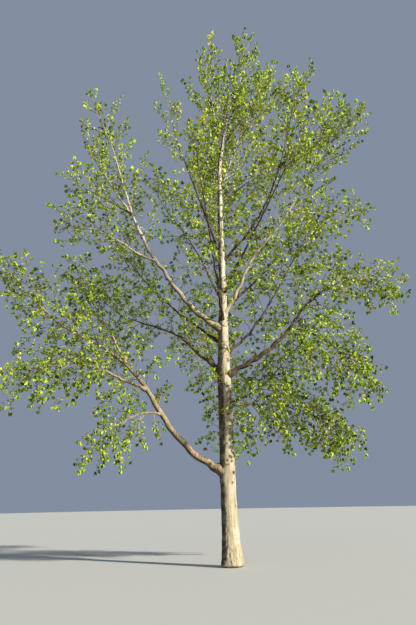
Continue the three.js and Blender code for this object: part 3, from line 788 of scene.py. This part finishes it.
SHOWN_LIMBS = {  # the part of its length that the photograph shows bare
    "left_low": 0.6, "left_mid": 0.5, "left_high": 0.7, "left_inner": 0.6, "left_upper": 0.4,
    "right_low": 0.5, "right_mid": 0.5, "right_pale": 0.6, "right_high": 0.85,
    "right_cross": 0.7, "right_leader": 0.6, "top_right": 0.5, "left_low_side": 0.4,
}
LIT_LIMBS = {"left_low": 0.36}  # the part that the photograph shows in full sun
SHOWN_TRUNK = (3.2, 12.8)
LIT_TRUNK = (4.6, 12.8)
SUN = (-34, 25)  # heading and rise of the sun
SUN_WAY = Vector(pointing(*SUN))
WOOD_STEP = 0.05
WOOD_ROOM = 0.045
HIDING_SHARE = 0.88  # of the buds that would hide or shade such wood, how many stay shut


def wood_samples(heights, shares):
    """Places along a part of the trunk and the first part of some limbs, with their radii."""
    samples = [(Vector(trunk_middle(height)), trunk_radius(height))
               for height in np.arange(*heights, WOOD_STEP)]
    for name, share in shares.items():
        line, radii = finer_limb(limbs[name], 4)
        samples += list(zip(map(Vector, line), radii))[:round(share * len(line))]
    return samples


def seen_place(point):
    """Where the camera sees a point against the upright plane through the trunk."""
    onwards = -EYE.y / (point[1] - EYE.y)
    return Vector((EYE.x + (point[0] - EYE.x) * onwards, 0,
                   EYE.z + (point[2] - EYE.z) * onwards))


def sunlit_place(point):
    """Where the sun sees a point against the plane square to its way."""
    return Vector(point) - SUN_WAY * Vector(point).dot(SUN_WAY)


shown_wood = wood_samples(SHOWN_TRUNK, SHOWN_LIMBS)
lit_wood = wood_samples(LIT_TRUNK, LIT_LIMBS)
seen_tree = search_tree([seen_place(point) for point, _ in shown_wood])
sunlit_tree = search_tree([sunlit_place(point) for point, _ in lit_wood])


def hides_wood(point):
    """Whether a point stands between the camera and wood that the photograph shows."""
    _, index, distance = seen_tree.find(seen_place(point))
    wood, radius = shown_wood[index]
    return point[1] < wood.y and distance < radius + WOOD_ROOM


def shades_wood(point):
    """Whether a point's shadow falls on wood that the photograph shows in the sun."""
    _, index, distance = sunlit_tree.find(sunlit_place(point))
    wood, radius = lit_wood[index]
    return (Vector(point) - wood).dot(SUN_WAY) > 0 and distance < radius


def keeps_to_its_space(point, owner):
    """Whether a point is in the crown and, where a limb owns it, near enough to its stem."""
    if not inside_crown(point):
        return False
    if owner is None:
        return True
    nearest = stem_tree.find_n(Vector(point), NEIGHBOURS)
    own = [distance for _, index, distance in nearest if stems[index][1] == owner]
    return bool(own) and own[0] < nearest[0][2] + SPACE_MARGIN


# %% Grow the twigs of every mass
def stem_places(limb):
    """Places of the twigs along a limb: close along its stem, sparse on the outer bough."""
    length, bare = limb["length"], limb["bare"]
    fullness, _ = GROWTH.get(limb["name"], (1.0, 1.0))
    count = round(length * (1 - bare) / (TWIG_SPACING / fullness))
    places = bare + (1 - bare) * (np.arange(count) + 0.5) / count
    spurred = 1 - SPUR_FREE
    spur_count = round(length * bare * spurred / (SPUR_SPACING / fullness))
    spurs = bare * (SPUR_FREE + spurred * (np.arange(spur_count) + 0.5) / max(spur_count, 1))
    return list(spurs) + list(places)


twig_spots = [np.zeros(3)]


def roomiest(options):
    """The twig whose middle and end stand furthest from all twigs grown so far."""
    grown = np.array(twig_spots)
    best, best_room = None, -1
    for line in options:
        gaps = [np.linalg.norm((grown - spot) * DEPTH_COUNTS, axis=1).min()
                for spot in (line[3], line[-1])]
        if sum(gaps) > best_room:
            best, best_room = line, sum(gaps)
    twig_spots.extend([best[3], best[-1]])
    return best


def best_twig(start, way, number, place, reach, owner, chance):
    turn = turning(start[2])
    for share in TRIED_REACHES:
        options = []
        for attempt in range(TRIES):
            angle = math.radians(number * GOLDEN_ANGLE + attempt * 360 / TRIES)
            side = side_way(way, angle, place)
            line = twig_line(start, side, reach * share, TWIG_POINTS, turn, chance)
            if keeps_to_its_space(line[-1], owner):
                options.append(line)
        if options:
            return roomiest(options), reach * share
    return None, 0


def buds_along(line, length, tint, chance, first=0.25):
    """Where buds have opened: place, way, size, tint, whether it ends the shoot, number."""
    count = max(1, round(length * (1 - first) / BUD_SPACING))
    buds = []
    for number in range(count):
        place = first + (1 - first) * (number + 0.5 * chance.random()) / count
        point, way = point_along(line, place)
        buds.append((point, way, chance.uniform(*BUD_SIZES), tint, False, number))
    point, way = point_along(line, 1.0)
    buds.append((point, way, chance.uniform(*END_BUD_SIZES), tint, True, count))
    return [bud for bud in buds
            if chance.random() > HIDING_SHARE
            or not (hides_wood(bud[0]) or shades_wood(bud[0]))]


def dress_twig(line, reach, number, chance, shoots, buds):
    shoot_count = max(2, round(reach * (1 - FIRST_SHOOT) / SHOOT_SPACING))
    turn = turning(line[0][2])
    for index in range(shoot_count):
        spot = FIRST_SHOOT + SHOOT_SPAN * (index + chance.random() * 0.6) / shoot_count
        root, way = point_along(line, spot)
        length = SHOOT_REACH * (1 - CLOSING * spot) * chance.uniform(*SHOOT_REACHES)
        angle = math.radians((index + number) * GOLDEN_ANGLE)
        shoot = twig_line(root, side_way(way, angle, spot), length, SHOOT_POINTS, turn, chance)
        if inside_crown(shoot[-1]):
            shoots.append(shoot)
            buds.extend(buds_along(shoot, length, chance.random(), chance))
    buds.extend(buds_along(line, reach, chance.random(), chance, first=0.4))


def grow_twig(mass, start, way, number, place, reach, owner, chance):
    """Adds a twig with its shoots and buds to a mass, where there is room for one."""
    twigs, shoots, buds = mass
    line, reach = best_twig(start, way, number, place, reach, owner, chance)
    if line is not None:
        twigs.append(line)
        dress_twig(line, reach, number, chance, shoots, buds)


def grow_mass(limb, chance):
    mass = [], [], []
    bare = limb["bare"]
    _, reaching = GROWTH.get(limb["name"], (1.0, 1.0))
    for number, place in enumerate(stem_places(limb)):
        start, way = point_along(limb["points"], place)
        on_stem = (place - bare) / (1 - bare)
        closer = 1 - CLOSING * on_stem if on_stem > 0 else SPUR_REACH
        reach = (limb["reach"] + TWIG_EXTRA) * closer * chance.uniform(*TWIG_REACHES) * reaching
        grow_twig(mass, start, way, number, max(on_stem, 0), reach, limb["name"], chance)
    tip_way = normalise(limb["points"][-1] - limb["points"][-2])
    mass[2].append((limb["points"][-1], tip_way, TIP_BUD, chance.random(), True, 0))
    return mass


masses = {name: grow_mass(limb, np.random.default_rng(number))
          for number, (name, limb) in enumerate(limbs.items(), 101)}
print("twigs", sum(len(mass[0]) for mass in masses.values()))

# %% [markdown]
# Between the boughs the trunk itself carries laterals: thin twigs that grow by the same rule
# and fill the middle of the crown. Lower down, a few young sprigs with large bright leaves
# break out of the bark round the first fork.

# %% Laterals and sprigs on the trunk
LATERALS = [  # from one height to another, how far apart, longest reach
    (3.1, 6.2, 0.17, 0.95), (6.4, 13.5, 0.085, 1.25),
]
LATERAL_REACHES = (0.6, 1.1)


def grow_laterals(chance):
    mass = [], [], []
    for lowest, highest, spacing, longest in LATERALS:
        count = round((highest - lowest) / spacing)
        for number in range(count):
            share = (number + chance.random()) / count
            start = trunk_middle(lowest + share * (highest - lowest))
            reach = longest * chance.uniform(*LATERAL_REACHES)
            grow_twig(mass, start, np.array([0.0, 0.0, 1.0]), number, 0, reach, None, chance)
    return mass


masses["trunk"] = grow_laterals(np.random.default_rng(99))

SPRIGS = [  # height on the trunk, heading, length
    (2.60, 200, 0.34), (2.75, 190, 0.22), (2.66, -15, 0.26), (2.50, -35, 0.20),
    (2.42, -10, 0.30), (2.30, 262, 0.16), (2.85, 330, 0.20), (3.25, 185, 0.42),
    (3.30, 345, 0.30), (3.55, 250, 0.22), (3.75, 205, 0.48), (3.95, -40, 0.28),
    (4.35, 190, 0.40), (4.60, 350, 0.26), (2.90, 90, 0.30), (3.40, 110, 0.34),
    (4.10, 70, 0.30), (3.05, 20, 0.24), (5.2, 200, 0.35), (5.5, 350, 0.32),
]
SPRIG_RISE = 25
SPRIG_TURN = 0.7
SPRIG_BUD = 1.35  # size of its leaves, against the others
SPRIG_TINT = 2.0  # past all the tints of the crown, so its leaves take the last one


def grow_sprigs(chance):
    twigs, buds = [], []
    for height, heading, length in SPRIGS:
        start = trunk_middle(height)
        way = pointing(heading, SPRIG_RISE)
        length += trunk_radius(height)
        line = twig_line(start, way, length, TWIG_POINTS, SPRIG_TURN, chance)
        twigs.append(line)
        buds += [(place, way, size * SPRIG_BUD, *rest) for place, way, size, *rest
                 in buds_along(line, length, SPRIG_TINT, chance, first=0.6)]
    return twigs, twigs[:1], buds


masses["sprigs"] = grow_sprigs(np.random.default_rng(98))
for kind, title in enumerate(("twigs", "shoots", "buds")):
    print(title, sum(len(mass[kind]) for mass in masses.values()))

# %% [markdown]
# Every line gets a three-sided ring at each of its points, square to the line there, and ends
# in one point. A cap closes its root, which is inside its carrier.

# %% Tubes and meshes from arrays
def mesh_piece(name, points, triangles, materials, material_index):
    data = bpy.data.meshes.new(name)
    data.vertices.add(len(points))
    data.vertices.foreach_set("co", np.asarray(points, np.float32).ravel())
    data.loops.add(len(triangles) * 3)
    data.loops.foreach_set("vertex_index", np.asarray(triangles, np.int32).ravel())
    data.polygons.add(len(triangles))
    data.polygons.foreach_set("loop_start", np.arange(len(triangles), dtype=np.int32) * 3)
    for material in materials:
        data.materials.append(material)
    data.polygons.foreach_set("material_index", np.asarray(material_index, np.int32))
    data.update(calc_edges=True)
    data.validate()
    return add_object(name, data)


TUBE_SIDES = 3


def tubes(lines, root_radius, tip_radius):
    """Closed tapering tubes round many lines with the same number of points."""
    lines = np.array(lines)
    count, length = lines.shape[:2]
    ways = normalise(np.gradient(lines, axis=1))
    helper = np.where(np.abs(ways[:, :1, 2:]) < 0.8, [[[0.0, 0.0, 1.0]]], [[[1.0, 0.0, 0.0]]])
    across = normalise(np.cross(np.broadcast_to(helper, ways.shape), ways))
    aside = np.cross(ways, across)
    radii = root_radius + (tip_radius - root_radius) * np.linspace(0, 1, length)
    turns = np.arange(TUBE_SIDES) * 2 * np.pi / TUBE_SIDES
    spokes = (across[:, :-1, None] * np.cos(turns)[:, None]
              + aside[:, :-1, None] * np.sin(turns)[:, None])
    rings = lines[:, :-1, None] + radii[:-1, None, None] * spokes
    points = np.concatenate([rings.reshape(count, -1, 3), lines[:, -1:]], 1)
    faces = []
    for ring in range(0, (length - 2) * TUBE_SIDES, TUBE_SIDES):
        for side in range(TUBE_SIDES):
            a, b = ring + side, ring + (side + 1) % TUBE_SIDES
            faces += [(a, b, b + TUBE_SIDES), (a, b + TUBE_SIDES, a + TUBE_SIDES)]
    tip, last = (length - 1) * TUBE_SIDES, (length - 2) * TUBE_SIDES
    faces += [(last + side, last + (side + 1) % TUBE_SIDES, tip) for side in range(TUBE_SIDES)]
    faces += [(0, side + 1, side) for side in range(1, TUBE_SIDES - 1)]
    faces = np.array(faces)[None] + (np.arange(count) * points.shape[1])[:, None, None]
    return points.reshape(-1, 3), faces.reshape(-1, 3)


# %% Make the twigs
def plain_material(name, colour, roughness, specular=0.4):
    material, shader = new_material(name, roughness, specular)
    shader.inputs["Base Color"].default_value = linear(*colour)
    return material


twig_materials = [plain_material("twig_pale", (178, 160, 116), 0.6),
                  plain_material("twig_dark", (86, 70, 48), 0.7)]
# Every twig of these masses takes the dark twig colour: painted shade, as on their limbs.
PAINTED_SHADE_TWIGS = ("right_high", "right_high_side", "right_cross", "right_mid", "top_right")


def twig_piece(name, twigs, shoots):
    twig_points, twig_faces = tubes(twigs, TWIG_GIRTH / 2, SHOOT_TIP / 2)
    shoot_points, shoot_faces = tubes(shoots, SHOOT_GIRTH_AT_ROOT / 2, SHOOT_TIP / 2)
    points = np.concatenate([twig_points, shoot_points])
    faces = np.concatenate([twig_faces, shoot_faces + len(twig_points)])
    tones = np.concatenate([
        np.repeat(np.arange(len(twigs)) % 2, len(twig_faces) // len(twigs)),
        np.repeat(np.arange(len(shoots)) // 5 % 2, len(shoot_faces) // len(shoots))])
    # Painted shade: the twigs of the shaded masses all take the dark colour.
    tones = np.maximum(tones, name in PAINTED_SHADE_TWIGS)
    piece = mesh_piece("twigs_" + name, points, faces, twig_materials, tones)
    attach(piece, "root")
    if name in limbs:
        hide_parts("foliage_" + name)
    return piece


twig_pieces = [twig_piece(name, mass[0], mass[1]) for name, mass in masses.items()]
print("twig triangles", sum(len(piece.data.polygons) for piece in twig_pieces))

# %% [markdown]
# ## Leaves
# In spring every bud opens into a small rosette: three or four young leaves on thin stalks,
# six at a shoot's end. A poplar leaf is a rounded triangle with a drawn-out tip, folded a
# little along its midrib. Nine triangles show that. The leaves at a shoot's end stand up, the
# others spread. Their plain colours run from gold over yellow-green to deep green. They are
# dealt deeper low down and on the side away from the sun: partly the darker green of shade
# leaves, partly painted shade.

# %% One leaf
STALK = 0.42
LEAF_POINTS = np.array([  # sideways, along and out of the leaf's plane, for a blade 1 long
    (-0.018, -STALK, 0.0), (0.018, -STALK, 0.0), (0.0, 0.0, 0.0), (-0.36, 0.04, 0.09),
    (-0.45, 0.30, 0.13), (-0.22, 0.68, 0.05), (0.0, 1.0, -0.08), (0.22, 0.68, 0.05),
    (0.45, 0.30, 0.13), (0.36, 0.04, 0.09), (0.0, 0.45, 0.0),
]) + [0, STALK, 0]
LEAF_FACES = np.array([
    (0, 1, 2), (2, 4, 3), (2, 10, 4), (10, 5, 4), (10, 6, 5),
    (2, 9, 8), (2, 8, 10), (10, 8, 7), (10, 7, 6),
])
LEAF_LENGTH = 0.073
LEAF_SIZES = (0.75, 1.15)
LEAF_TURNING = ([3, 8, 14], [-0.35, 0.0, 0.55])  # heights, and how leaves turn up or down there
LIGHT_GRADIENT = np.array([0.5, 0.0, 1.0])  # leaf colours get paler this way, up and to the sun: partly sun leaves, partly painted light
LIGHT_REACHES = ([3.0, 7.0, 10.0], [0.42, 0.62, 1.0])  # metres that way, and how pale there
END_LEAVES = 6  # leaves at a shoot's end
END_SPLAY = 24  # degrees from the way of their bud
SPLAY = 50  # the same beside a shoot
TINT_SPREAD = 0.12  # within a spray
TINTS = [  # name, screen colour, share of the sprays; the last is only for sprigs
    ("leaf_gold", (164, 160, 52), 0.08),
    ("leaf_bright", (170, 190, 54), 0.34),
    ("leaf_fresh", (148, 170, 42), 0.30),
    ("leaf_green", (118, 140, 34), 0.18),
    ("leaf_deep", (82, 98, 26), 0.08),
    ("leaf_lime", (150, 184, 30), 0.01),
]


leaf_materials = [plain_material(name, colour, 0.5, 0.3) for name, colour, _ in TINTS]
tint_edges = np.cumsum([share for _, _, share in TINTS])

# %% Open the buds
def open_buds(buds, chance):
    """Every leaf of every bud: its foot, its way, the way it faces, its length and tint."""
    places, ways, sizes, tints, ends, numbers = [np.array(column) for column in zip(*buds)]
    leaf_counts = np.where(ends, END_LEAVES, chance.integers(3, 5, len(buds)))
    across, aside = square_pair(ways)
    turn = np.radians(numbers * GOLDEN_ANGLE)[:, None]
    outwards = across * np.cos(turn) + aside * np.sin(turn)
    axis = normalise(np.where(ends[:, None], ways, ways * 0.55 + outwards * 0.85))
    which = np.repeat(np.arange(len(buds)), leaf_counts)
    order = np.arange(len(which)) - np.repeat(np.cumsum(leaf_counts) - leaf_counts, leaf_counts)
    first, second = square_pair(axis[which])
    spin = (order / leaf_counts[which] * 2 * np.pi + chance.uniform(0, 1.2, len(which)))[:, None]
    splay = np.where(ends[which], END_SPLAY, SPLAY) + chance.uniform(-14, 18, len(which))
    splay = np.radians(splay)[:, None]
    sideways = first * np.cos(spin) + second * np.sin(spin)
    way = axis[which] * np.cos(splay) + sideways * np.sin(splay)
    way[:, 2] += np.interp(places[which, 2], *LEAF_TURNING)
    way = normalise(way)
    facing = chance.uniform(-0.5, 0.5, way.shape) + [0, 0, 0.45] + axis[which] * 0.25
    facing = normalise(facing - way * (facing * way).sum(1, keepdims=True))
    lengths = LEAF_LENGTH * sizes[which] * chance.uniform(*LEAF_SIZES, len(which))
    return places[which], way, facing, lengths, tints[which]


def leaf_piece(name, buds, chance):
    places, way, facing, lengths, tints = open_buds(buds, chance)
    side = np.cross(way, facing)
    shape = LEAF_POINTS[None] * lengths[:, None, None]
    points = (places[:, None] + shape[..., :1] * side[:, None] + shape[..., 1:2] * way[:, None]
              + shape[..., 2:] * facing[:, None])
    faces = LEAF_FACES[None] + (np.arange(len(places)) * len(LEAF_POINTS))[:, None, None]
    blend = np.clip(tints + chance.uniform(-TINT_SPREAD, TINT_SPREAD, len(tints)), 0, 1)
    # Partly painted shade: tints get deeper low down and away from the sun.
    blend = blend ** np.interp(places @ LIGHT_GRADIENT, *LIGHT_REACHES)
    index = np.searchsorted(tint_edges, blend * tint_edges[-1], side="right")
    index = np.where(tints < SPRIG_TINT, np.minimum(index, len(TINTS) - 2), len(TINTS) - 1)
    piece = mesh_piece("leaves_" + name, points.reshape(-1, 3), faces.reshape(-1, 3),
                       leaf_materials, index.repeat(len(LEAF_FACES)))
    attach(piece, "root")
    if name in limbs:
        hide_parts("foliage_" + name)
    return piece


leaf_pieces = [leaf_piece(name, mass[2], np.random.default_rng(number))
               for number, (name, mass) in enumerate(masses.items(), 500)]
leaf_triangles = [len(piece.data.polygons) for piece in leaf_pieces]
print("leaves", sum(leaf_triangles) // len(LEAF_FACES), "triangles", sum(leaf_triangles),
      "in the largest piece", max(leaf_triangles))

# %% [markdown]
# ## Floor and light
# A plain pale floor and plain studio light: a warm key from the right and slightly in front, as
# in the photograph, where the trunk is lit on its right and dark on its left, a faint fill
# from the front, and an even pale surround that softens the shadows.

# %% Floor
FLOOR_RADIUS = 90
FLOOR_SIDES = 96
floor = add_disc("floor", FLOOR_SIDES, FLOOR_RADIUS)
floor.data.materials.append(plain_material("floor_paint", (176, 176, 171), 0.9, 0.5))
print("floor radius", FLOOR_RADIUS, "m")

# %% Lights
def add_sun(name, heading, rise, strength, spread, colour):
    data = bpy.data.lights.new(name, "SUN")
    data.energy = strength
    data.angle = math.radians(spread)
    data.color = colour
    towards = Vector(pointing(heading, rise))
    add_object(name, data).rotation_euler = towards.to_track_quat("Z", "Y").to_euler()


add_sun("key", *SUN, 7.6, 2, (1.0, 0.95, 0.86))
add_sun("fill", 262, 30, 0.25, 40, (0.92, 0.96, 1.0))
world = bpy.data.worlds.new("surround")
world.use_nodes = True
surround = world.node_tree.nodes["Background"].inputs
surround["Color"].default_value = linear(194, 210, 236)
surround["Strength"].default_value = 0.42
bpy.context.scene.world = world
bpy.context.scene.view_settings.view_transform = "Standard"
